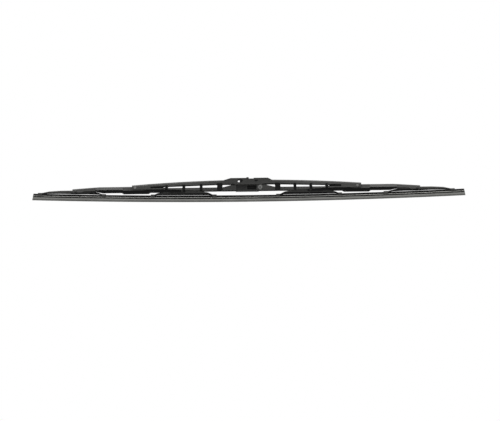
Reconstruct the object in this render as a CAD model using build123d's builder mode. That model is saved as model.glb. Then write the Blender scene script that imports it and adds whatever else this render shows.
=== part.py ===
from build123d import *
import math
import os

os.makedirs("parts", exist_ok=True)

# A framed windscreen wiper blade, in millimetres.
# Origin on the axis of the arm pin, X along the blade, Y across it, Z away from the glass.
# Heights are measured from the glass at the blade's middle, and distances from that middle.
pin_from_middle = 16.0
pin_height = 19.7

# Rubber blade, with heights above its own lip
rubber_length = 610.0
bow_rise = 5.7
end_slant = 2.0
lip_half = 0.35
lip_height = 0.5
shoulder_half = 2.1
shoulder_edge = 3.9
shoulder_top = 4.4
neck_half = 0.7
neck_top = 5.7
flange_half = 3.1
flange_top = 6.5
groove_half = 1.7
groove_top = 7.4
seat_half = 3.0
seat_top = 7.9
slot_half = 1.1
cap_half = 2.3
rubber_height = 9.2

# Spring strips in the slots of the rubber's head
strip_width = 2.3
strip_thickness = 0.8
strip_fit = 0.1
strip_inset = 2.7

# Bridge
bridge_left = 164.3
bridge_right = 158.2
bridge_half = 6.6
bridge_wall = 1.0
bridge_bend = 2.4
crown_height = 30.7
crown_radius = 2150.0
rail_height = 15.6
rail_flat = 60.0
rail_rise = 120.0
lug_height = 18.3

# Vent windows of the bridge, counted outwards from the middle
vent_floor = 20.0
vent_roof_inner = 24.8
vent_roof_outer = 22.1
vent_corner = 0.6
vent_first = 44.5
vent_count = 4
vent_pitch_left = 24.4
vent_pitch_right = 22.4
post_width = 3.8
gusset_vent_start = 18.0
gusset_vent_end = 37.0
flute_depth = 0.6
flute_bulge = 0.3
flute_lap = 1.0

# Ears over the middle of the bridge
ear_left = 34.6
ear_right = 32.2
ear_top_left = 25.3
ear_top_right = 26.7
ear_height = 33.1
ear_panel_foot = 23.8
ear_panel_proud = 0.5
ear_panel_margin = 3.0
ear_round = 2.0
ear_notch_start = 0.0
ear_notch_end = 7.0
ear_notch_depth = 1.0
mouth_left = 23.0
mouth_right = 25.5
side_slot_from_middle = -12.0
side_slot_height = 29.1
side_slot_length = 7.4
side_slot_width = 4.2
small_slot_from_middle = 10.5
small_slot_height = 29.2
small_slot_length = 4.6
small_slot_width = 2.4
window_left = -17.6
window_right = 11.3
window_height = 23.7
window_round = 1.0

# Pivots: main in the bridge's lugs, outer and inner at the ends of each lever
main_pivot_left = 160.0
main_pivot_right = 153.0
main_pivot_height = 20.2
main_rivet_radius = 1.4
main_rivet_head = 2.1
outer_arm = 83.8
inner_arm = 66.0
outer_pivot_height = 16.9
inner_pivot_height = 16.2
yoke_rivet_radius = 1.0
yoke_rivet_head = 1.8
main_rivet_head_height = 0.8
yoke_rivet_head_height = 0.5
head_taper = 0.7
arm_pin_radius = 2.5
arm_pin_head = 3.5
arm_pin_head_height = 1.0
arm_pin_dimple = 1.0
arm_pin_dimple_depth = 3.0
running_fit = 0.05
seat_fit = 0.02

# Washers between the channel walls
washer_rim = 0.5
washer_sides = 8
washer_play = 0.05

# Levers
lever_half = 4.6
lever_wall = 0.9
lever_bend = 0.9
lever_inner_bend = 0.3
lever_overhang = 4.3
lever_top = 22.6
lever_shoulder = 50.0
lever_end_top = 20.1
lever_inner_top = 20.1
lever_inner_slope_start = 35.0
lever_inner_slope_end = 45.0
lever_foot = 14.6
lever_relief_foot = 17.0
lever_relief_start = 46.0
lever_relief_end = 72.0
lever_end_foot = 15.4
lever_inner_foot = 13.8
lever_pad_foot = 12.8
lever_pad_out = 16.0
lever_pad_in = 18.6
lever_inner_pad = 20.3
lever_round = 6.0
lever_step = 3.0
ridge_start = 17.0
ridge_end = 56.0
ridge_height = 18.4
pad_ridge_height = 17.2
pad_foot_half = 3.1
yoke_room = 26.0
arm_top_half = 3.0
arm_foot_half = 3.0
arm_hollow_half = 2.3

# Claw yokes
yoke_half = 3.2
yoke_wall = 0.8
yoke_bend = 0.6
yoke_inner_bend = 0.3
yoke_round = 8.0
outer_yoke_out = 50.2
outer_yoke_in_left = 39.6
outer_yoke_in_right = 43.9
inner_yoke_out = 41.2
inner_yoke_in = 45.8
web_gap = 0.9
outer_crest = 18.5
yoke_clear = 0.8
outer_arm_clear = 1.1
inner_crest_half = 9.0
inner_knee_out = 6.3
inner_knee_out_height = 13.1
inner_knee_in = 9.0
inner_knee_in_height = 13.6
inner_ridge = 12.6
outer_crest_out = 20.0
outer_crest_in = 2.0
outer_knee = 13.0
outer_knee_height = 17.6
outer_bend_in = 20.0
outer_bend_height = 16.9
outer_arch_in = 28.3
outer_arch_height = 16.1
outer_knee_in = 33.6
outer_knee_in_height = 14.5
outer_ridge = 15.3
yoke_foot_half = 2.2
yoke_hollow_half = 1.6
claw_length = 5.6
claw_wall = 0.8
claw_bevel = 0.4
claw_side_gap = 0.2
claw_top_gap = 0.3
finger_gap = 0.2
finger_reach = 0.3

# Hook adapter
adapter_side_gap = 0.3
hook_width = 9.2
core_left = -18.4
core_floor = 14.7
core_top = 24.7
nose_radius = 5.0
cheek_left = -12.7
cheek_right = 20.0
cheek_shoulder = 12.0
cheek_height = 29.0
cheek_top = 32.2
roof_right = 5.0
roof_thickness = 1.2
bump_from_middle = -1.6
bump_width = 3.4
bump_height = 34.5
bump_half = 3.0
bump_round = 0.9
snap_slot = 4.2
core_pocket_left = -2.0
core_pocket_right = 10.0
core_pocket_floor = 16.8
core_pocket_roof = 22.4
core_pocket_depth = 3.0
core_pocket_round = 1.0

# How far cuts run past the faces that they open, and the least upward lean of a top face
past_end = 2.0
far_down = 3.0
top_lean = 0.3
on_wall = 0.001

# Working planes and the bow of the rubber
side = Plane(origin=(-pin_from_middle, 0, -pin_height), x_dir=(1, 0, 0), z_dir=(0, -1, 0))
rubber_half = rubber_length / 2
bow_radius = (rubber_half**2 + bow_rise**2) / (2 * bow_rise)
bow_axis = Axis((-pin_from_middle, 0, bow_radius - pin_height), (0, -1, 0))


def bow_lift(d):
    return bow_radius - math.sqrt(bow_radius**2 - d**2)


def across(d):
    """Plane across the bowed rubber: local X is Y, local Y is the height above the lip."""
    turn = math.asin(d / bow_radius)
    return Plane(
        origin=(d - pin_from_middle, 0, bow_lift(d) - pin_height),
        x_dir=(0, 1, 0),
        z_dir=(math.cos(turn), 0, math.sin(turn)),
    )


def upright(d):
    """Plane across the frame: local X is Y, local Y is the height above the glass at the middle."""
    return Plane(origin=(d - pin_from_middle, 0, -pin_height), x_dir=(0, 1, 0), z_dir=(1, 0, 0))


def crown(d):
    """Height of the bridge's top at a distance from the middle."""
    return crown_height - crown_radius + math.sqrt(crown_radius**2 - d**2)


def top_edges(part, half):
    """Long edges on both sides of the faces that look up."""
    faces = part.faces().filter_by(lambda f: f.normal_at().Z > top_lean)
    return faces.edges().filter_by(lambda e: abs(abs(e.center().Y) - half) < on_wall)


def break_edges(edges, bend, rounded):
    """Sheet bends: round outside, plain bevels inside."""
    if rounded:
        fillet(edges, radius=bend)
    else:
        chamfer(edges, length=bend)


def bar(top, bottom, half, bend, corner=0, rounded=False):
    """Bar with a bent top line and a plain bottom line, its two top edges broken."""
    with BuildPart() as solid:
        with BuildSketch(side):
            with BuildLine():
                crest = FilletPolyline(*top, radius=corner) if corner else Polyline(*top)
                Polyline(crest @ 1, *bottom, crest @ 0)
            make_face()
        extrude(amount=half, both=True)
        break_edges(top_edges(solid.part, half), bend, rounded)
    return solid.part


def rivet(d, height, half, radius, head_radius, head_height):
    """Turned rivet across two walls, with a tapered head on each side."""
    head_end = half + head_height
    head_top = height + head_radius - head_height * head_taper
    with BuildPart() as solid:
        with BuildSketch(upright(d)):
            Polygon(
                (-head_end, height),
                (-head_end, head_top),
                (-half, height + head_radius),
                (-half, height + radius),
                (half, height + radius),
                (half, height + head_radius),
                (head_end, head_top),
                (head_end, height),
                align=None,
            )
        revolve(axis=Axis((d - pin_from_middle, 0, height - pin_height), (0, 1, 0)))
    return solid.part


def washer_pair(d, height, inner_half, outer_half, radius):
    """One ring with flats against each outer face of the inner channel."""
    bore = radius + running_fit
    with BuildPart() as solid:
        with BuildSketch(side.offset(inner_half + washer_play), side.offset(-outer_half + washer_play)):
            with Locations((d, height)):
                RegularPolygon(bore + washer_rim, washer_sides)
                Circle(bore, mode=Mode.SUBTRACT)
        extrude(amount=outer_half - inner_half - 2 * washer_play)
    return solid.part


# Rubber blade
with BuildPart() as rubber_blade:
    with BuildSketch(across(-rubber_half)):
        for half, low, high in (
            (lip_half, 0, lip_height),
            (shoulder_half, shoulder_edge, shoulder_top),
            (neck_half, shoulder_top, neck_top),
            (flange_half, neck_top, flange_top),
            (groove_half, flange_top, groove_top),
            (seat_half, groove_top, seat_top),
            (slot_half, seat_top, seat_top + strip_thickness + strip_fit),
            (cap_half, seat_top + strip_thickness + strip_fit, rubber_height),
        ):
            with Locations((0, (low + high) / 2)):
                Rectangle(2 * half, high - low)
        Polygon(
            (-lip_half, lip_height),
            (lip_half, lip_height),
            (shoulder_half, shoulder_edge),
            (-shoulder_half, shoulder_edge),
            align=None,
        )
    revolve(axis=bow_axis, revolution_arc=2 * math.degrees(math.asin(rubber_half / bow_radius)))
    for way in (-1, 1):
        with BuildSketch(side):
            Polygon(
                (way * rubber_half, bow_rise),
                (way * (rubber_half - end_slant), bow_rise + rubber_height + past_end),
                (way * (rubber_half + past_end), bow_rise + rubber_height + past_end),
                (way * (rubber_half + past_end), bow_rise),
                align=None,
            )
        extrude(amount=flange_half + past_end, both=True, mode=Mode.SUBTRACT)
rubber_blade.part.label = "rubber_blade"
export_step(rubber_blade.part, "parts/rubber_blade.step")

# Spring strips, a little shorter than the rubber
strip_half_length = rubber_half - strip_inset
strip_centre = slot_half + strip_fit / 2 + strip_width / 2
for name, way in (("front_strip", -1), ("rear_strip", 1)):
    with BuildPart() as strip:
        with BuildSketch(across(-strip_half_length)):
            with Locations((way * strip_centre, seat_top + strip_thickness / 2)):
                Rectangle(strip_width, strip_thickness)
        revolve(axis=bow_axis, revolution_arc=2 * math.degrees(math.asin(strip_half_length / bow_radius)))
    strip.part.label = name
    export_step(strip.part, f"parts/{name}.step")

# Bridge: an open channel under a long crown, with windows in both walls
def crown_bar(half, drop, over, bend, bottom, rounded=False):
    """Bar under the crown arc, which is lowered and run past the ends for the hollow."""
    left = -bridge_left - over
    right = bridge_right + over
    with BuildPart() as solid:
        with BuildSketch(side):
            with BuildLine():
                arc = ThreePointArc(
                    (left, crown(left) - drop), (0, crown_height - drop), (right, crown(right) - drop)
                )
                Polyline(arc @ 1, *bottom, arc @ 0)
            make_face()
        extrude(amount=half, both=True)
        break_edges(top_edges(solid.part, half), bend, rounded)
    return solid.part


def vent_roof(d):
    """Top line of the windows, sloping down towards the lugs."""
    share = (abs(d) - vent_first) / (vent_count * vent_pitch_left)
    return vent_roof_inner + share * (vent_roof_outer - vent_roof_inner)


bridge_shell = crown_bar(
    bridge_half,
    0,
    0,
    bridge_bend,
    (
        (bridge_right, lug_height),
        (rail_rise, lug_height),
        (rail_flat, rail_height),
        (-rail_flat, rail_height),
        (-rail_rise, lug_height),
        (-bridge_left, lug_height),
    ),
    rounded=True,
)
bridge_hollow = crown_bar(
    bridge_half - bridge_wall,
    bridge_wall,
    past_end,
    bridge_bend - bridge_wall,
    ((bridge_right + past_end, far_down), (-bridge_left - past_end, far_down)),
)
bridge_sides = ((-1, vent_pitch_left), (1, vent_pitch_right))
flutes = []
for way, pitch in bridge_sides:
    flutes.append((way * (gusset_vent_end + vent_first) / 2, vent_first - gusset_vent_end))
    for n in range(1, vent_count):
        flutes.append((way * (vent_first + n * pitch - post_width / 2), post_width))

with BuildPart() as primary_bridge:
    add(bridge_shell)
    # Ears, with a raised panel on their outer faces
    with BuildSketch(side):
        Polygon(
            (-ear_left, ear_panel_foot),
            (-ear_left, crown(ear_left)),
            (-ear_top_left, ear_height),
            (ear_top_right, ear_height),
            (ear_right, crown(ear_right)),
            (ear_right, ear_panel_foot),
            align=None,
        )
    extrude(amount=bridge_half, both=True)
    with BuildSketch(side) as panel:
        Polygon(
            (-ear_left + ear_panel_margin, ear_panel_foot),
            (-ear_top_left, ear_height - ear_notch_depth),
            (ear_top_right, ear_height - ear_notch_depth),
            (ear_right - ear_panel_margin, ear_panel_foot),
            align=None,
        )
        fillet(panel.vertices(), radius=ear_round)
    extrude(amount=bridge_half + ear_panel_proud, both=True)
    add(bridge_hollow, mode=Mode.SUBTRACT)
    # The web is open over the adapter
    with BuildSketch(side):
        Polygon(
            (-mouth_left, far_down),
            (-mouth_left, ear_height + past_end),
            (mouth_right, ear_height + past_end),
            (mouth_right, far_down),
            align=None,
        )
    extrude(amount=bridge_half - bridge_wall, both=True, mode=Mode.SUBTRACT)
    # Posts pressed inwards: a flute outside and a lower bulge inside
    for way in (-1, 1):
        with BuildSketch(side.offset(way * (bridge_half - bridge_wall))):
            for d, width in flutes:
                with Locations((d, (vent_floor + vent_roof_inner) / 2)):
                    Rectangle(width - 2 * flute_bulge, vent_roof_inner - vent_floor + 2 * flute_lap)
        extrude(amount=-way * flute_bulge)
        with BuildSketch(side.offset(way * bridge_half)):
            for d, width in flutes:
                with Locations((d, (far_down + vent_roof(d) + flute_lap) / 2)):
                    Rectangle(width, vent_roof(d) + flute_lap - far_down)
        extrude(amount=-way * flute_depth, mode=Mode.SUBTRACT)
    # Windows
    with BuildSketch(side) as vents:
        for way, pitch in bridge_sides:
            for n in range(vent_count):
                near = vent_first + n * pitch
                far = near + pitch - post_width
                Polygon(
                    (way * near, vent_floor),
                    (way * near, vent_roof(near)),
                    (way * far, vent_roof(far)),
                    (way * far, vent_floor),
                    align=None,
                )
            Polygon(
                (way * gusset_vent_end, vent_floor),
                (way * gusset_vent_end, vent_roof_inner),
                (way * gusset_vent_start, vent_roof_inner),
                align=None,
            )
        chamfer(vents.vertices(), length=vent_corner)
    extrude(amount=bridge_half + past_end, both=True, mode=Mode.SUBTRACT)
    # Side window under the ears, notch in their tops, two side slots and the pin and rivet holes
    with BuildSketch(side) as cuts:
        Polygon(
            (window_left, far_down),
            (window_left, window_height),
            (window_right, window_height),
            (window_right, far_down),
            align=None,
        )
        fillet(cuts.vertices().group_by(Axis.Y)[-1], radius=window_round)
        with Locations(((ear_notch_start + ear_notch_end) / 2, ear_height)):
            Rectangle(ear_notch_end - ear_notch_start, 2 * ear_notch_depth)
        with Locations((side_slot_from_middle, side_slot_height)):
            SlotOverall(side_slot_length, side_slot_width)
        with Locations((small_slot_from_middle, small_slot_height)):
            SlotOverall(small_slot_length, small_slot_width)
        with Locations((pin_from_middle, pin_height)):
            Circle(arm_pin_radius + seat_fit)
        with Locations((-main_pivot_left, main_pivot_height), (main_pivot_right, main_pivot_height)):
            Circle(main_rivet_radius + seat_fit)
    extrude(amount=bridge_half + past_end, both=True, mode=Mode.SUBTRACT)
primary_bridge.part.label = "primary_bridge"
export_step(primary_bridge.part, "parts/primary_bridge.step")

# Arm pin across the ears, with a dimple in the head that faces front
arm_pin_body = rivet(
    pin_from_middle, pin_height, bridge_half, arm_pin_radius, arm_pin_head, arm_pin_head_height
)
with BuildPart() as arm_pin:
    add(arm_pin_body)
    with BuildSketch(side.offset(bridge_half + arm_pin_head_height)):
        with Locations((pin_from_middle, pin_height)):
            Circle(arm_pin_dimple)
    extrude(amount=-arm_pin_dimple_depth, mode=Mode.SUBTRACT)
arm_pin.part.label = "arm_pin"
export_step(arm_pin.part, "parts/arm_pin.step")

# Hook adapter: a core with a round nose on the pin, two cheeks and a roof with the release bump
adapter_half = bridge_half - bridge_wall - adapter_side_gap
with BuildPart() as hook_adapter:
    with BuildSketch(side):
        Polygon(
            (core_left, core_floor),
            (core_left, core_top),
            (cheek_left, core_top),
            (cheek_left, cheek_top),
            (cheek_shoulder, cheek_top),
            (cheek_right, cheek_height),
            (cheek_right, pin_height),
            (pin_from_middle, pin_height),
            (pin_from_middle, core_floor),
            align=None,
        )
        with Locations((pin_from_middle, pin_height)):
            Circle(nose_radius)
    extrude(amount=adapter_half, both=True)
    # Slot for the arm's hook between the cheeks, under the roof
    with BuildSketch(side):
        Polygon(
            (core_left, core_top),
            (core_left, cheek_top - roof_thickness),
            (roof_right, cheek_top - roof_thickness),
            (roof_right, cheek_top + past_end),
            (cheek_right + past_end, cheek_top + past_end),
            (cheek_right + past_end, core_top),
            align=None,
        )
    extrude(amount=hook_width / 2, both=True, mode=Mode.SUBTRACT)
    with BuildSketch(side) as bump:
        with Locations((bump_from_middle, (cheek_top + bump_height) / 2)):
            Rectangle(bump_width, bump_height - cheek_top)
        fillet(bump.vertices().group_by(Axis.Y)[-1], radius=bump_round)
    extrude(amount=bump_half, both=True)
    # Pockets that show in the side windows
    for way in (-1, 1):
        with BuildSketch(side.offset(way * adapter_half)):
            with Locations(
                ((core_pocket_left + core_pocket_right) / 2, (core_pocket_floor + core_pocket_roof) / 2)
            ):
                RectangleRounded(
                    core_pocket_right - core_pocket_left,
                    core_pocket_roof - core_pocket_floor,
                    core_pocket_round,
                )
        extrude(amount=-way * core_pocket_depth, mode=Mode.SUBTRACT)
    # Bore on the pin, with the slot by which it snaps on from above
    with BuildSketch(side):
        with Locations((pin_from_middle, pin_height)):
            Circle(arm_pin_radius + running_fit)
        with Locations((pin_from_middle, (pin_height + far_down) / 2)):
            Rectangle(snap_slot, pin_height - far_down)
    extrude(amount=adapter_half, both=True, mode=Mode.SUBTRACT)
hook_adapter.part.label = "hook_adapter"
export_step(hook_adapter.part, "parts/hook_adapter.step")

# Claw: a short clip that wraps over the strips and reaches into the groove below them
claw_inner_half = slot_half + strip_fit / 2 + strip_width + claw_side_gap
claw_outer_half = claw_inner_half + claw_wall
claw_ceiling = rubber_height + claw_top_gap
claw_top = claw_ceiling + claw_wall
finger_floor = flange_top + finger_gap
finger_roof = groove_top - finger_gap


def claw(d):
    with BuildPart() as clip:
        with BuildSketch(across(d)) as section:
            with Locations((0, (finger_floor + claw_top) / 2)):
                Rectangle(2 * claw_outer_half, claw_top - finger_floor)
            chamfer(section.vertices(), length=claw_bevel)
            with Locations((0, (finger_roof + claw_ceiling) / 2)):
                Rectangle(2 * claw_inner_half, claw_ceiling - finger_roof, mode=Mode.SUBTRACT)
            with Locations((0, finger_floor)):
                Rectangle(2 * (groove_half + finger_reach), 2 * claw_wall, mode=Mode.SUBTRACT)
        extrude(amount=claw_length / 2, both=True)
    return clip.part


def claw_yoke(name, way, pivot, pivot_height, crest_line, ridge, arm_clear, reach_out, reach_in):
    """Channel over one pivot, running down to a claw at each end."""
    out_claw = pivot + way * reach_out
    in_claw = pivot - way * reach_in
    out_top = bow_lift(out_claw) + claw_top
    in_top = bow_lift(in_claw) + claw_top
    half_claw = way * claw_length / 2
    # The lower edge keeps clear of the rubber, most of all halfway along each arm
    knee_out = crest_line[0][0]
    knee_in = crest_line[-1][0]
    clears = (
        (knee_in, yoke_clear),
        (knee_in / 2, arm_clear),
        (0, yoke_clear),
        (knee_out / 2, arm_clear),
        (knee_out, yoke_clear),
    )
    feet = [(pivot + way * u, bow_lift(pivot + way * u) + rubber_height + clear) for u, clear in clears]
    top = (
        (out_claw + half_claw, out_top),
        (out_claw - half_claw, out_top),
        *[(pivot + way * u, h) for u, h in crest_line],
        (in_claw + half_claw, in_top),
        (in_claw - half_claw, in_top),
    )
    low = ((in_claw - half_claw, in_top - claw_wall), (in_claw + half_claw, in_top - claw_wall))
    high = ((out_claw - half_claw, out_top - claw_wall), (out_claw + half_claw, out_top - claw_wall))
    shell = bar(top, (*low, *feet, *high), yoke_half, yoke_bend, yoke_round)
    lowered = [(d, h - yoke_wall) for d, h in top]
    floor = ((in_claw - half_claw, far_down), (out_claw + half_claw, far_down))
    hollow = bar(lowered, floor, yoke_hollow_half, yoke_inner_bend)
    claws = [claw(out_claw), claw(in_claw)]
    with BuildPart() as yoke:
        add(shell)
        # The walls lean in below the ridge
        with BuildSketch(upright(in_claw - half_claw)):
            for face in (-1, 1):
                Polygon(
                    (face * yoke_half, ridge),
                    (face * yoke_foot_half, feet[0][1]),
                    (face * yoke_foot_half, far_down),
                    (face * (yoke_half + past_end), far_down),
                    (face * (yoke_half + past_end), ridge),
                    align=None,
                )
        extrude(amount=way * (reach_out + reach_in + claw_length), mode=Mode.SUBTRACT)
        add(hollow, mode=Mode.SUBTRACT)
        add(claws)
        with BuildSketch(side):
            with Locations((pivot, pivot_height)):
                Circle(yoke_rivet_radius + running_fit)
        extrude(amount=yoke_half + past_end, both=True, mode=Mode.SUBTRACT)
    yoke.part.label = name
    export_step(yoke.part, f"parts/{name}.step")


def lever(name, way, pivot):
    """Channel that rocks on a bridge lug, with a pad at its main rivet and a ridge along its outer arm."""
    out_end = outer_arm + lever_overhang
    in_end = -inner_arm - lever_overhang
    fall = (lever_top - lever_end_top) / (out_end - lever_shoulder)
    arm_end_top = lever_end_top + fall * (out_end - ridge_end - lever_wall)
    inner_top = ((-lever_inner_slope_start, lever_top), (-lever_inner_slope_end, lever_inner_top))
    top = ((out_end, lever_end_top), (lever_shoulder, lever_top), *inner_top, (in_end, lever_inner_top))
    bottom = (
        (in_end, lever_inner_foot),
        (in_end + lever_inner_pad, lever_inner_foot),
        (in_end + lever_inner_pad + lever_step, lever_foot),
        (-lever_pad_in - lever_step, lever_foot),
        (-lever_pad_in, lever_pad_foot),
        (lever_pad_out, lever_pad_foot),
        (lever_pad_out + lever_step, lever_foot),
        (lever_relief_start, lever_foot),
        (ridge_end, lever_relief_foot),
        (lever_relief_end, lever_relief_foot),
        (lever_relief_end + lever_step, lever_end_foot),
        (out_end, lever_end_foot),
    )

    def place(points, drop=0):
        return [(pivot + way * u, h - drop) for u, h in points]

    def hollow(line, half):
        floor = ((line[-1][0], far_down), (line[0][0], far_down))
        return bar(place(line, lever_wall), place(floor), half, lever_inner_bend)

    open_out = (out_end + past_end, lever_end_top)
    open_in = (in_end - past_end, lever_inner_top)
    wide = lever_half - lever_wall
    shell = bar(place(top), place(bottom), lever_half, lever_bend, lever_round)
    hollows = [
        hollow((open_out, (lever_shoulder, lever_top), *inner_top, open_in), arm_hollow_half),
        hollow((open_out, (ridge_end + lever_wall, arm_end_top)), wide),
        hollow(((-yoke_room, lever_top), *inner_top, open_in), wide),
    ]
    with BuildPart() as channel:
        add(shell)
        # Both sides of the outer arm lean in above and below the ridge
        with BuildSketch(upright(pivot + way * ridge_start)):
            for face in (-1, 1):
                Polygon(
                    (face * arm_top_half, lever_top + past_end),
                    (face * arm_top_half, lever_top),
                    (face * lever_half, ridge_height),
                    (face * arm_foot_half, lever_foot),
                    (face * arm_foot_half, lever_foot - past_end),
                    (face * (lever_half + past_end), lever_foot - past_end),
                    (face * (lever_half + past_end), lever_top + past_end),
                    align=None,
                )
        extrude(amount=way * (ridge_end - ridge_start), mode=Mode.SUBTRACT)
        # So does the lower part of the pad
        with BuildSketch(upright(pivot - way * lever_pad_in)):
            for face in (-1, 1):
                Polygon(
                    (face * lever_half, pad_ridge_height),
                    (face * pad_foot_half, lever_pad_foot),
                    (face * pad_foot_half, lever_pad_foot - past_end),
                    (face * (lever_half + past_end), lever_pad_foot - past_end),
                    (face * (lever_half + past_end), pad_ridge_height),
                    align=None,
                )
        extrude(amount=way * (lever_pad_in + ridge_start), mode=Mode.SUBTRACT)
        add(hollows, mode=Mode.SUBTRACT)
        with BuildSketch(side):
            with Locations((pivot, main_pivot_height)):
                Circle(main_rivet_radius + running_fit)
            with Locations(
                (pivot + way * outer_arm, outer_pivot_height), (pivot - way * inner_arm, inner_pivot_height)
            ):
                Circle(yoke_rivet_radius + seat_fit)
        extrude(amount=lever_half + past_end, both=True, mode=Mode.SUBTRACT)
    channel.part.label = name
    export_step(channel.part, f"parts/{name}.step")


def save(part, name):
    part.label = name
    export_step(part, f"parts/{name}.step")


# Each side: the lever on its main rivet, then the outer and inner claw yokes on theirs
inner_crest = lever_inner_top - lever_wall - web_gap
inner_line = (
    (inner_yoke_out - inner_knee_out, inner_knee_out_height),
    (inner_crest_half, inner_crest),
    (-inner_crest_half, inner_crest),
    (-inner_yoke_in + inner_knee_in, inner_knee_in_height),
)
outer_line = (
    (outer_yoke_out - outer_knee, outer_knee_height),
    (outer_crest_out, outer_crest),
    (-outer_crest_in, outer_crest),
    (-outer_bend_in, outer_bend_height),
    (-outer_arch_in, outer_arch_height),
    (-outer_knee_in, outer_knee_in_height),
)
inner = (inner_pivot_height, inner_line, inner_ridge, yoke_clear, inner_yoke_out, inner_yoke_in)
yoke_sizes = (yoke_rivet_radius, yoke_rivet_head, yoke_rivet_head_height)
main_sizes = (main_rivet_radius, main_rivet_head, main_rivet_head_height)
for side_name, way, main_pivot, outer_yoke_in in (
    ("left", -1, main_pivot_left, outer_yoke_in_left),
    ("right", 1, main_pivot_right, outer_yoke_in_right),
):
    pivot = way * main_pivot
    outer = (outer_pivot_height, outer_line, outer_ridge, outer_arm_clear, outer_yoke_out, outer_yoke_in)
    lever(f"{side_name}_lever", way, pivot)
    save(rivet(pivot, main_pivot_height, bridge_half, *main_sizes), f"{side_name}_main_rivet")
    save(
        washer_pair(pivot, main_pivot_height, lever_half, bridge_half - bridge_wall, main_rivet_radius),
        f"{side_name}_main_washers",
    )
    for place_name, yoke_pivot, yoke in (
        ("outer", pivot + way * outer_arm, outer),
        ("inner", pivot - way * inner_arm, inner),
    ):
        stem = f"{side_name}_{place_name}"
        height = yoke[0]
        claw_yoke(f"{stem}_claw_yoke", way, yoke_pivot, *yoke)
        save(rivet(yoke_pivot, height, lever_half, *yoke_sizes), f"{stem}_rivet")
        save(
            washer_pair(yoke_pivot, height, yoke_half, lever_half - lever_wall, yoke_rivet_radius),
            f"{stem}_washers",
        )
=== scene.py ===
import math

import bpy
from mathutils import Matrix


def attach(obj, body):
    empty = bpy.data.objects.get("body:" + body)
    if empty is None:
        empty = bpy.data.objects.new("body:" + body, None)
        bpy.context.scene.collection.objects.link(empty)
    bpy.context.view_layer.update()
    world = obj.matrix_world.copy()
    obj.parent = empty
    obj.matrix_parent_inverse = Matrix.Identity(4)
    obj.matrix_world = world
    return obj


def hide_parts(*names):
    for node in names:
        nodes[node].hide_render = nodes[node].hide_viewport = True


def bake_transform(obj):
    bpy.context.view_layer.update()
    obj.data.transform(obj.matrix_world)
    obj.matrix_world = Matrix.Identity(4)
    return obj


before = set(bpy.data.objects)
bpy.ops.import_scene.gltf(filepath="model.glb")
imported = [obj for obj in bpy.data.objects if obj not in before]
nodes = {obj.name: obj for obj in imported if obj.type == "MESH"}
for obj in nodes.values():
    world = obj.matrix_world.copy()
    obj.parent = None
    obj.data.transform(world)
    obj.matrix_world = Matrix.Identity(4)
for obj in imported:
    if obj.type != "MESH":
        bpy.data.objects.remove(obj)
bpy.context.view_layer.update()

scene = bpy.context.scene
scene.view_settings.view_transform = "Standard"
mm = 0.001
bladeMiddle = -16.0  # millimetres along the blade, from the arm pin
print("frame:", len(nodes), "nodes")

# camera: a long lens in front and a little below, turned so that the right end sits higher
shot = {
    "lens": 200, "sensor": 36,  # millimetres
    "aim": (-0.0199, -0.0321), "width": 0.7035,  # metres
    "tilt": 0.68, "rise": -6.5,  # degrees
}


def addCamera(shot):
    away = shot["width"] * shot["lens"] / shot["sensor"]
    rise = math.radians(shot["rise"])
    x, z = shot["aim"]
    bpy.ops.object.camera_add(
        location=(x, -away * math.cos(rise), z + away * math.sin(rise)),
        rotation=(math.radians(90) - rise, math.radians(shot["tilt"]), 0),
    )
    camera = bpy.context.object
    camera.name = "studioCamera"
    camera.data.lens = shot["lens"]
    camera.data.sensor_width = shot["sensor"]
    scene.camera = camera


addCamera(shot)
print("camera set")


# small steps that the studio, the effects and the finishes share
def feed(tree, socket, value):
    # a link from another node, a colour or a plain number
    if isinstance(value, bpy.types.NodeSocket):
        tree.links.new(value, socket)
    elif isinstance(value, tuple):
        socket.default_value = (*value, 1)
    else:
        socket.default_value = value


def mathNode(tree, operation, first, second=0.0):
    step = tree.nodes.new("ShaderNodeMath")
    step.operation = operation
    feed(tree, step.inputs[0], first)
    feed(tree, step.inputs[1], second)
    return step.outputs[0]


def remap(tree, value, low, high, toLow=0.0, toHigh=1.0):
    step = tree.nodes.new("ShaderNodeMapRange")
    ends = {"Value": value, "From Min": low, "From Max": high, "To Min": toLow, "To Max": toHigh}
    for label, end in ends.items():
        feed(tree, step.inputs[label], end)
    return step.outputs[0]


# white studio: floor far below the blade, a big soft lamp above and one in front
studio = {
    "floorZ": -0.6, "floorSize": 8.0, "floorTone": (0.8, 0.8, 0.8), "floorGlow": 0.85,
    "skyTone": (1, 1, 1), "fill": 0.1,
    "topPower": 46.0, "topSize": (2.2, 0.7), "topPlace": (0.0, -0.4, 1.5),
    "frontPower": 9.0, "frontSize": (2.0, 1.0), "frontPlace": (0.6, -2.1, 0.7),
}


def seenWhite(tree):
    # one where the eye, a gloss or a see-through ray looks, zero for plain light
    path = tree.nodes.new("ShaderNodeLightPath")
    seen = mathNode(tree, "MAXIMUM", path.outputs["Is Camera Ray"], path.outputs["Is Glossy Ray"])
    return mathNode(tree, "MAXIMUM", seen, path.outputs["Is Transmission Ray"])


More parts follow.
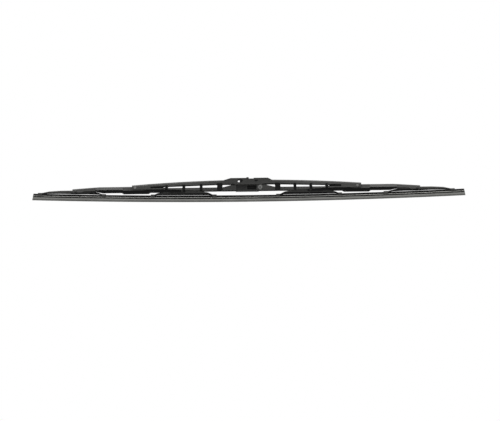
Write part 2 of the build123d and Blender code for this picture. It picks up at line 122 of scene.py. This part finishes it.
def addFloor(studio):
    # paper that takes the shadow, and glows white where it is seen
    bpy.ops.mesh.primitive_plane_add(size=studio["floorSize"], location=(0, 0, studio["floorZ"]))
    floor = bpy.context.object
    floor.name = "studioFloor"
    mat = bpy.data.materials.new("floorPaper")
    mat.use_nodes = True
    tree = mat.node_tree
    tree.nodes.clear()
    paper = tree.nodes.new("ShaderNodeBsdfDiffuse")
    feed(tree, paper.inputs["Color"], studio["floorTone"])
    glow = tree.nodes.new("ShaderNodeEmission")
    share = mathNode(tree, "MULTIPLY", seenWhite(tree), studio["floorGlow"])
    mix = tree.nodes.new("ShaderNodeMixShader")
    for socket, source in zip(mix.inputs, (share, paper.outputs[0], glow.outputs[0])):
        tree.links.new(source, socket)
    out = tree.nodes.new("ShaderNodeOutputMaterial")
    tree.links.new(mix.outputs[0], out.inputs["Surface"])
    floor.data.materials.append(mat)


def addWorld(studio):
    # white where it is seen, a weak fill elsewhere
    world = bpy.data.worlds.new("studioWorld")
    scene.world = world
    world.use_nodes = True
    tree = world.node_tree
    tree.nodes.clear()
    sky = tree.nodes.new("ShaderNodeBackground")
    feed(tree, sky.inputs["Color"], studio["skyTone"])
    feed(tree, sky.inputs["Strength"], remap(tree, seenWhite(tree), 0.0, 1.0, studio["fill"], 1.0))
    out = tree.nodes.new("ShaderNodeOutputWorld")
    tree.links.new(sky.outputs[0], out.inputs["Surface"])


def addLamp(studio, name):
    bpy.ops.object.light_add(type="AREA", location=studio[name + "Place"])
    lamp = bpy.context.object
    lamp.name = name + "Lamp"
    lamp.data.shape = "RECTANGLE"
    lamp.data.size, lamp.data.size_y = studio[name + "Size"]
    lamp.data.energy = studio[name + "Power"]
    aim = -lamp.location  # towards the arm pin
    lamp.rotation_euler = aim.to_track_quat("-Z", "Y").to_euler()


addFloor(studio)
addWorld(studio)
addLamp(studio, "top")
addLamp(studio, "front")
print("studio ready")


# shared effects, each one group of nodes
def newGroup(name, inputs, outputs):
    group = bpy.data.node_groups.new(name, "ShaderNodeTree")
    for label in inputs:
        group.interface.new_socket(label, in_out="INPUT", socket_type="NodeSocketFloat")
    for label in outputs:
        group.interface.new_socket(label, in_out="OUTPUT", socket_type="NodeSocketFloat")
    inlet = group.nodes.new("NodeGroupInput")
    outlet = group.nodes.new("NodeGroupOutput")
    return group, inlet.outputs, outlet.inputs


def splitVector(group, vector):
    split = group.nodes.new("ShaderNodeSeparateXYZ")
    group.links.new(vector, split.inputs[0])
    return split.outputs


def objectPlace(group):
    # X, Y and Z in the piece's own coordinates
    return splitVector(group, group.nodes.new("ShaderNodeTexCoord").outputs["Object"])


def facingUp(group):
    # one on what faces up, minus one on what faces down
    return splitVector(group, group.nodes.new("ShaderNodeNewGeometry").outputs["Normal"])["Z"]


def objectNoise(group, scale, detail, stretch=(1, 1, 1)):
    # noise on the piece's own coordinates, drawn out by stretch
    coord = group.nodes.new("ShaderNodeTexCoord")
    mapping = group.nodes.new("ShaderNodeMapping")
    mapping.inputs["Scale"].default_value = stretch
    group.links.new(coord.outputs["Object"], mapping.inputs["Vector"])
    noise = group.nodes.new("ShaderNodeTexNoise")
    noise.inputs["Detail"].default_value = detail
    feed(group, noise.inputs["Scale"], scale)
    group.links.new(mapping.outputs[0], noise.inputs["Vector"])
    return noise.outputs["Fac"]


# fine orange peel for the bump, and broad cloudy patches for gloss and tone
grainShape = {
    "fineDetail": 3.0,
    "broadScale": 0.06, "broadDetail": 2.0, "broadStretch": (0.4, 1, 1), "patches": (0.3, 0.7),
}


def makeGrain(shape):
    group, inputs, outputs = newGroup("surfaceGrain", ("Scale",), ("Height", "Patches"))
    fine = objectNoise(group, inputs["Scale"], shape["fineDetail"])
    broadScale = mathNode(group, "MULTIPLY", inputs["Scale"], shape["broadScale"])
    broad = objectNoise(group, broadScale, shape["broadDetail"], shape["broadStretch"])
    group.links.new(fine, outputs["Height"])
    group.links.new(remap(group, broad, *shape["patches"]), outputs["Patches"])
    return group


# thin rubs that run along the blade, here and there
scuffShape = {
    "lineDetail": 4.0, "lineStretch": (0.06, 1, 1.6), "lines": (0.56, 0.72),
    "placeScale": 0.08, "placeDetail": 2.0, "placeStretch": (0.5, 1, 1), "places": (0.48, 0.66),
}


def makeScuffs(shape):
    group, inputs, outputs = newGroup("longScuffs", ("Scale", "Amount"), ("Mask",))
    lines = objectNoise(group, inputs["Scale"], shape["lineDetail"], shape["lineStretch"])
    placeScale = mathNode(group, "MULTIPLY", inputs["Scale"], shape["placeScale"])
    places = objectNoise(group, placeScale, shape["placeDetail"], shape["placeStretch"])
    thin = remap(group, lines, *shape["lines"])
    rubbed = mathNode(group, "MULTIPLY", thin, remap(group, places, *shape["places"]))
    group.links.new(mathNode(group, "MULTIPLY", rubbed, inputs["Amount"]), outputs["Mask"])
    return group


# dust and painted light: a pale film on what faces up
dustAndLightShape = {
    "scale": 350.0, "detail": 5.0, "stretch": (0.5, 1, 1), "specks": (0.35, 0.7), "thinnest": 0.6,
    "up": (0.05, 0.6),
}


def makeDustAndLight(shape):
    group, inputs, outputs = newGroup("topDustAndLight", ("Amount",), ("Mask",))
    specks = objectNoise(group, shape["scale"], shape["detail"], shape["stretch"])
    specks = remap(group, specks, *shape["specks"], shape["thinnest"])
    filmAndLight = mathNode(group, "MULTIPLY", remap(group, facingUp(group), *shape["up"]), specks)
    group.links.new(mathNode(group, "MULTIPLY", filmAndLight, inputs["Amount"]), outputs["Mask"])
    return group


# painted shade: near black on what lies deeper than the outer face, and on what leans down
recessShape = {"depths": (0.0002, 0.0004), "level": (0.05, 0.25), "under": (-0.12, -0.3)}


def makeRecess(shape):
    group, inputs, outputs = newGroup("recessAndUnderShade", ("Face", "Under"), ("Mask",))
    out = mathNode(group, "ABSOLUTE", objectPlace(group)["Y"])
    depth = mathNode(group, "SUBTRACT", inputs["Face"], out)
    up = facingUp(group)
    side = remap(group, up, *shape["level"], 1.0, 0.0)
    inside = mathNode(group, "MULTIPLY", remap(group, depth, *shape["depths"]), side)
    under = mathNode(group, "MULTIPLY", remap(group, up, *shape["under"]), inputs["Under"])
    group.links.new(mathNode(group, "MAXIMUM", inside, under), outputs["Mask"])
    return group


def makeMiddleShade():
    # painted shade: darker paint towards the blade's middle, by the distance from it
    group, inputs, outputs = newGroup("bridgeMiddleShade", ("From", "To", "Amount"), ("Mask",))
    along = mathNode(group, "SUBTRACT", objectPlace(group)["X"], bladeMiddle * mm)
    away = mathNode(group, "ABSOLUTE", along)
    mask = remap(group, away, inputs["From"], inputs["To"], inputs["Amount"], 0.0)
    group.links.new(mask, outputs["Mask"])
    return group


grain = makeGrain(grainShape)
scuffs = makeScuffs(scuffShape)
dustAndLight = makeDustAndLight(dustAndLightShape)
recess = makeRecess(recessShape)
middleShade = makeMiddleShade()
print("shared effects ready")

# a Mix node has several sockets of one name, so its colours go by their places
mixPlaces = {"first": 6, "second": 7, "result": 2}


def mixColour(tree, mask, first, second):
    mix = tree.nodes.new("ShaderNodeMix")
    mix.data_type = "RGBA"
    tree.links.new(mask, mix.inputs["Factor"])
    feed(tree, mix.inputs[mixPlaces["first"]], first)
    feed(tree, mix.inputs[mixPlaces["second"]], second)
    return mix.outputs[mixPlaces["result"]]


def placeGroup(tree, group, **values):
    node = tree.nodes.new("ShaderNodeGroup")
    node.node_tree = group
    for label, value in values.items():
        node.inputs[label].default_value = value
    return node.outputs


def layTones(tree, look, patches, rubs):
    # the base tone in patches, rubs, dust with painted top light, then painted shade inside, below, near the
    # middle
    colour = mixColour(tree, patches, look["dark"], look["pale"])
    colour = mixColour(tree, rubs, colour, look["rubbed"])
    # dust together with painted light on what faces up
    filmAndLight = placeGroup(tree, dustAndLight, Amount=look["dustAndLight"])["Mask"]
    colour = mixColour(tree, filmAndLight, colour, look["dustAndLightTone"])
    # painted shade, near black, in recesses and on what leans down
    if "shadeTone" in look:
        inside = placeGroup(tree, recess, Face=look["face"], Under=look["under"])["Mask"]
        colour = mixColour(tree, inside, colour, look["shadeTone"])
    # painted shade near the blade's middle, by the distance from it
    if "middleShade" in look:
        middle = placeGroup(tree, middleShade, **look["middleShade"])["Mask"]
        colour = mixColour(tree, middle, colour, look["shadeTone"])
    return colour


def makeFinish(name, look):
    # gloss follows the patches and the rubs, and the grain lifts the surface
    mat = bpy.data.materials.new(name)
    mat.use_nodes = True
    tree = mat.node_tree
    shader = tree.nodes["Principled BSDF"]
    peel = placeGroup(tree, grain, Scale=look["grain"])
    rubs = placeGroup(tree, scuffs, Scale=look["rubScale"], Amount=look["rubs"])["Mask"]
    tree.links.new(layTones(tree, look, peel["Patches"], rubs), shader.inputs["Base Color"])
    rough = remap(tree, peel["Patches"], 0.0, 1.0, *look["rough"])
    rough = mathNode(tree, "ADD", rough, mathNode(tree, "MULTIPLY", rubs, look["rubRough"]))
    tree.links.new(rough, shader.inputs["Roughness"])
    bump = tree.nodes.new("ShaderNodeBump")
    bump.inputs["Strength"].default_value = look["bump"]
    bump.inputs["Distance"].default_value = look["bumpDepth"]
    tree.links.new(peel["Height"], bump.inputs["Height"])
    tree.links.new(bump.outputs[0], shader.inputs["Normal"])
    shader.inputs["Metallic"].default_value = look["metal"]
    shader.inputs["IOR"].default_value = look["ior"]
    return mat


# finishes, with face, bumpDepth and the two ends of the painted middle shade in metres

# satin black stoved paint on the pressed steel, with painted shade on what leans down
blackPaint = {
    "dark": (0.052, 0.052, 0.050), "pale": (0.07, 0.07, 0.067), "rubbed": (0.14, 0.14, 0.136),
    "dustAndLightTone": (0.26, 0.26, 0.25), "grain": 1400.0, "rubScale": 1800.0, "rubs": 0.4, "dustAndLight": 0.5,
    "rough": (0.42, 0.55), "rubRough": 0.15, "bump": 0.5, "bumpDepth": 0.0003, "metal": 0.0, "ior": 1.2,
    "face": 0.0, "under": 1.0, "shadeTone": (0.004, 0.004, 0.004),
}
# the bridge: painted shade makes its flutes and inside near black and its middle darker than its arms
bridgePaint = dict(
    blackPaint, dark=(0.056, 0.056, 0.054), pale=(0.076, 0.076, 0.073), dustAndLight=0.08, face=0.0066,
    middleShade={"From": 0.045, "To": 0.08, "Amount": 0.32},
)
# the levers: a paler copy of the paint as painted light, and painted shade near black where the bridge covers
# them
leverPaintLit = dict(
    blackPaint, dark=(0.07, 0.07, 0.068), pale=(0.094, 0.094, 0.091), dustAndLight=0.05,
    middleShade={"From": 0.143, "To": 0.149, "Amount": 1.0},
)
# the claw yokes: a darker copy of the paint as painted shade, painted shade below, dust and painted light on
# their tops
yokePaintShaded = dict(blackPaint, dark=(0.045, 0.045, 0.043), pale=(0.065, 0.065, 0.062))
# rivet heads: paler paint as a painted highlight, and the paint rubbed off in scuffs
rivetPaintHighlit = dict(
    blackPaint, dark=(0.1, 0.1, 0.097), pale=(0.18, 0.18, 0.174), rubbed=(0.4, 0.4, 0.38),
    rubs=0.9, rubScale=1500.0, ior=1.4,
)
# dull zinc of the arm pin
pinZinc = {
    "dark": (0.10, 0.10, 0.097), "pale": (0.17, 0.17, 0.165), "rubbed": (0.3, 0.3, 0.29),
    "dustAndLightTone": (0.2, 0.2, 0.19), "grain": 2500.0, "rubScale": 1800.0, "rubs": 0.5, "dustAndLight": 0.1,
    "rough": (0.38, 0.55), "rubRough": -0.1, "bump": 0.3, "bumpDepth": 0.00005, "metal": 0.6, "ior": 1.4,
}
# moulded black plastic of the clip, with painted shade in its recesses and on what leans down
clipPlastic = {
    "dark": (0.022, 0.022, 0.022), "pale": (0.032, 0.032, 0.031), "rubbed": (0.07, 0.07, 0.07),
    "dustAndLightTone": (0.08, 0.08, 0.08), "grain": 3000.0, "rubScale": 900.0, "rubs": 0.25, "dustAndLight": 0.2,
    "rough": (0.45, 0.6), "rubRough": -0.1, "bump": 0.6, "bumpDepth": 0.0002, "metal": 0.0, "ior": 1.2,
    "face": 0.0053, "under": 0.5, "shadeTone": (0.003, 0.003, 0.003),
}
# washers of a greyer plastic, with painted shade on what leans down
washerNylon = dict(clipPlastic, face=0.0, dark=(0.05, 0.05, 0.048), pale=(0.08, 0.08, 0.076), bump=0.2)
# dark spring steel of the two strips
stripSteel = {
    "dark": (0.014, 0.014, 0.014), "pale": (0.024, 0.024, 0.023), "rubbed": (0.09, 0.09, 0.086),
    "dustAndLightTone": (0.08, 0.08, 0.077), "grain": 2000.0, "rubScale": 800.0, "rubs": 0.3, "dustAndLight": 0.15,
    "rough": (0.35, 0.5), "rubRough": 0.1, "bump": 0.2, "bumpDepth": 0.00005, "metal": 0.0, "ior": 1.2,
}
# rubber in lit and shaded copies: painted light on wedge and flange, painted shade on lip, grooves and head
rubberBody = {
    "dark": (0.25, 0.25, 0.237), "pale": (0.34, 0.34, 0.323), "rubbed": (0.44, 0.44, 0.418),
    "dustAndLightTone": (0.3, 0.3, 0.29), "grain": 1800.0, "rubScale": 500.0, "rubs": 0.5, "dustAndLight": 0.1,
    "rough": (0.5, 0.7), "rubRough": 0.1, "bump": 0.5, "bumpDepth": 0.0002, "metal": 0.0, "ior": 1.5,
}
rubberLipShaded = dict(rubberBody, dark=(0.12, 0.12, 0.114), pale=(0.17, 0.17, 0.161), rubs=0.7)
rubberFlangeLit = dict(rubberBody, dark=(0.38, 0.38, 0.361), pale=(0.5, 0.5, 0.475))
rubberHeadShaded = dict(
    rubberBody, dark=(0.007, 0.007, 0.007), pale=(0.014, 0.014, 0.013), rubs=0.1, dustAndLight=0.03, ior=1.15,
)

bridgeMat = makeFinish("bridgePaint", bridgePaint)
leverLitMat = makeFinish("leverPaintLit", leverPaintLit)
yokeShadedMat = makeFinish("yokePaintShaded", yokePaintShaded)
rivetHighlitMat = makeFinish("rivetPaintHighlit", rivetPaintHighlit)
zincMat = makeFinish("pinZinc", pinZinc)
clipMat = makeFinish("clipPlastic", clipPlastic)
nylonMat = makeFinish("washerNylon", washerNylon)
stripMat = makeFinish("stripSteel", stripSteel)
bodyMat = makeFinish("rubberBody", rubberBody)
lipShadedMat = makeFinish("rubberLipShaded", rubberLipShaded)
flangeLitMat = makeFinish("rubberFlangeLit", rubberFlangeLit)
headShadedMat = makeFinish("rubberHeadShaded", rubberHeadShaded)
print("finishes made")

# the rubber, in millimetres: bands from the lip up as (from, to, half width, turn of the corners),
# where a turn of 1 takes the corners off, -1 fills them in and 0 leaves the sides straight
rubber = {
    "lipZ": -19.7, "length": 610.0, "bowRise": 5.7, "endSlant": 2.0, "corner": 0.12, "draft": 0.04,
    "bands": (
        (0.0, 0.5, 0.35, 1), (1.8, 2.1, 1.08, 0), (3.9, 4.4, 2.1, 1), (4.4, 5.7, 0.7, -1), (5.7, 6.5, 3.1, 1),
        (6.5, 7.4, 1.7, -1), (7.4, 7.9, 3.0, 1), (7.9, 8.8, 1.1, -1), (8.8, 9.2, 2.3, 1),
    ),
    "lightBandTops": (1.9, 4.45, 5.75, 6.55),
    "steps": 122, "bendParts": 9, "smoothDegrees": 40,
}
# stretches along the blade from the left: the body that each follows, the one that it bends to,
# and where it ends, in millimetres from the middle
stretches = (
    ("left_outer_yoke", None, -201.1),
    ("left_outer_yoke", "left_lever", -167.5),
    ("left_lever", "left_inner_yoke", -138.3),
    ("left_inner_yoke", None, -45.1),
    ("left_inner_yoke", "left_lever", -34),
    ("left_lever", "bridge", -5),
    ("bridge", None, 5),
    ("bridge", "right_lever", 28),
    ("right_lever", "right_inner_yoke", 38.1),
    ("right_inner_yoke", None, 131.3),
    ("right_inner_yoke", "right_lever", 160.5),
    ("right_lever", "right_outer_yoke", 189.8),
    ("right_outer_yoke", None, None),
)
bowRadius = ((rubber["length"] / 2) ** 2 + rubber["bowRise"] ** 2) / (2 * rubber["bowRise"]) * mm
bowCentre = (bladeMiddle * mm, 0, bowRadius + rubber["lipZ"] * mm)
weldGap = 1e-7  # metres: points nearer than this are one


def selectTopEdge(piece):
    bpy.ops.object.mode_set(mode="EDIT")
    bpy.ops.mesh.select_mode(type="EDGE")
    bpy.ops.mesh.select_all(action="DESELECT")
    bpy.ops.object.mode_set(mode="OBJECT")
    points = piece.data.vertices
    top = max(point.co.z for point in points)
    for edge in piece.data.edges:
        edge.select = all(points[i].co.z > top - weldGap for i in edge.vertices)
    bpy.ops.object.mode_set(mode="EDIT")


def bandRungs(bands, corner, draft):
    # (height, half width) at both ends and both corners of each band, from the bottom up
    rungs = []
    for low, high, half, turn in bands:
        end = half - turn * corner
        rungs += [(low + draft, end), (low + corner, half), (high - corner, half), (high - draft, end)]
    rungs[0] = (bands[0][0], rungs[0][1])
    rungs[-1] = (bands[-1][1], rungs[-1][1])
    return rungs


def standSection(name, rungs, offset=0.0):
    # a small upright plane at the blade's middle, then edge after edge pulled up and widened or narrowed
    bpy.ops.object.select_all(action="DESELECT")
    bpy.ops.mesh.primitive_plane_add(size=1, rotation=(0, math.radians(90), 0))
    bpy.ops.object.transform_apply(location=True, rotation=True, scale=True)
    piece = bpy.context.object
    piece.name = name
    (low, first), (high, second) = rungs[:2]
    bpy.ops.object.mode_set(mode="EDIT")
    bpy.ops.mesh.select_all(action="SELECT")
    bpy.ops.transform.resize(value=(1, 2 * first * mm, (high - low) * mm))
    middleZ = rubber["lipZ"] + (low + high) / 2
    bpy.ops.transform.translate(value=(bladeMiddle * mm, offset * mm, middleZ * mm))
    selectTopEdge(piece)
    bpy.ops.transform.resize(value=(1, second / first, 1))
    for (low, first), (high, second) in zip(rungs[1:], rungs[2:]):
        bpy.ops.mesh.extrude_region_move(TRANSFORM_OT_translate={"value": (0, 0, (high - low) * mm)})
        bpy.ops.transform.resize(value=(1, second / first, 1))
    bpy.ops.object.mode_set(mode="OBJECT")
    return piece


def sweepAlongBow(piece, length):
    half = math.asin(length / 2 * mm / bowRadius)
    bpy.ops.object.mode_set(mode="EDIT")
    bpy.ops.mesh.select_all(action="SELECT")
    bpy.ops.transform.rotate(value=-half, orient_axis="Y", center_override=bowCentre)
    bpy.ops.mesh.spin(steps=rubber["steps"], angle=2 * half, center=bowCentre, axis=(0, 1, 0))
    bpy.ops.mesh.select_all(action="SELECT")
    bpy.ops.mesh.remove_doubles(threshold=weldGap)
    bpy.ops.mesh.normals_make_consistent(inside=False)
    bpy.ops.object.mode_set(mode="OBJECT")


def pickOnly(piece):
    bpy.ops.object.select_all(action="DESELECT")
    piece.select_set(True)
    bpy.context.view_layer.objects.active = piece


def trim(piece, point, normal):
    # cuts off what lies past the plane, on the side its normal points to, and closes the cut
    pickOnly(piece)
    bpy.ops.object.mode_set(mode="EDIT")
    bpy.ops.mesh.select_all(action="SELECT")
    bpy.ops.mesh.bisect(plane_co=point, plane_no=normal, use_fill=True, clear_outer=True, threshold=weldGap)
    bpy.ops.object.material_slot_assign()  # the closing face, in the piece's active finish
    bpy.ops.object.mode_set(mode="OBJECT")


def cutPoint(along):
    # a point in the frame, from millimetres along the blade counted from its middle
    return ((along + bladeMiddle) * mm, 0, 0)


def addBendCuts(piece, start, end):
    # more cross sections, so that the stretch bends in a curve
    bpy.ops.object.mode_set(mode="EDIT")
    for number in range(1, rubber["bendParts"]):
        point = cutPoint(start + (end - start) * number / rubber["bendParts"])
        bpy.ops.mesh.select_all(action="SELECT")
        bpy.ops.mesh.bisect(plane_co=point, plane_no=(1, 0, 0), threshold=weldGap)
    bpy.ops.object.mode_set(mode="OBJECT")


def cutStretches(whole, stem, node):
    # one copy per stretch, cut where its neighbours begin, each with its own mesh
    start = None
    for number, (first, second, end) in enumerate(stretches, 1):
        piece = whole.copy()
        piece.data = whole.data.copy()
        piece.name = f"{stem}_{number:02d}"
        bpy.context.collection.objects.link(piece)
        if start is not None:
            trim(piece, cutPoint(start), (-1, 0, 0))
        if end is not None:
            trim(piece, cutPoint(end), (1, 0, 0))
        pickOnly(piece)
        if second:
            addBendCuts(piece, start, end)
        bpy.ops.object.shade_smooth_by_angle(angle=math.radians(rubber["smoothDegrees"]))
        if second:
            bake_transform(piece)
        else:
            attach(piece, first)
        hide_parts(node)
        start = end
    bpy.data.objects.remove(whole)


def makeRubber():
    whole = standSection("rubberWhole", bandRungs(rubber["bands"], rubber["corner"], rubber["draft"]))
    # lit and shaded copies by height: painted shade on the lip, the grooves and the head, painted light on
    # the flange
    mats = (lipShadedMat, bodyMat, headShadedMat, flangeLitMat, headShadedMat)
    for mat in mats:
        whole.data.materials.append(mat)
    whole.active_material_index = mats.index(bodyMat)  # for the cut ends
    for face in whole.data.polygons:
        height = face.center.z / mm - rubber["lipZ"]
        face.material_index = sum(height > top for top in rubber["lightBandTops"])
    sweepAlongBow(whole, rubber["length"])
    top = rubber["bands"][-1][1]
    slant = math.atan2(rubber["endSlant"], top)
    for way in (-1, 1):
        tipX = bladeMiddle + way * rubber["length"] / 2
        tipZ = rubber["lipZ"] + rubber["bowRise"]
        trim(whole, (tipX * mm, 0, tipZ * mm), (way * math.cos(slant), 0, math.sin(slant)))
    cutStretches(whole, "rubber", "rubber_blade")


makeRubber()
print("rubber in", len(stretches), "stretches")

# the two steel strips in the rubber's head, in millimetres
strips = {"from": 7.9, "to": 8.7, "centre": 2.3, "width": 2.3, "corner": 0.12, "draft": 0.0, "inset": 2.7}


def makeStrip(side, way):
    bands = ((strips["from"], strips["to"], strips["width"] / 2, 1),)
    rungs = bandRungs(bands, strips["corner"], strips["draft"])
    whole = standSection(side + "StripWhole", rungs, way * strips["centre"])
    whole.data.materials.append(stripMat)
    sweepAlongBow(whole, rubber["length"] - 2 * strips["inset"])
    cutStretches(whole, side + "Strip", side + "_strip")


makeStrip("front", -1)
makeStrip("rear", 1)
print("strips done")

# the CAD nodes' finishes, by how a name ends; the claw yokes and their rivets have the yokes' paint
finishes = {
    "primary_bridge": bridgeMat, "arm_pin": zincMat, "hook_adapter": clipMat, "rubber_blade": bodyMat,
    "_lever": leverLitMat, "_main_rivet": rivetHighlitMat, "_washers": nylonMat, "_strip": stripMat,
}
for name, node in nodes.items():
    fitting = (mat for ending, mat in finishes.items() if name.endswith(ending))
    node.data.materials.clear()
    node.data.materials.append(next(fitting, yokeShadedMat))
print("finishes set on", len(nodes), "nodes")
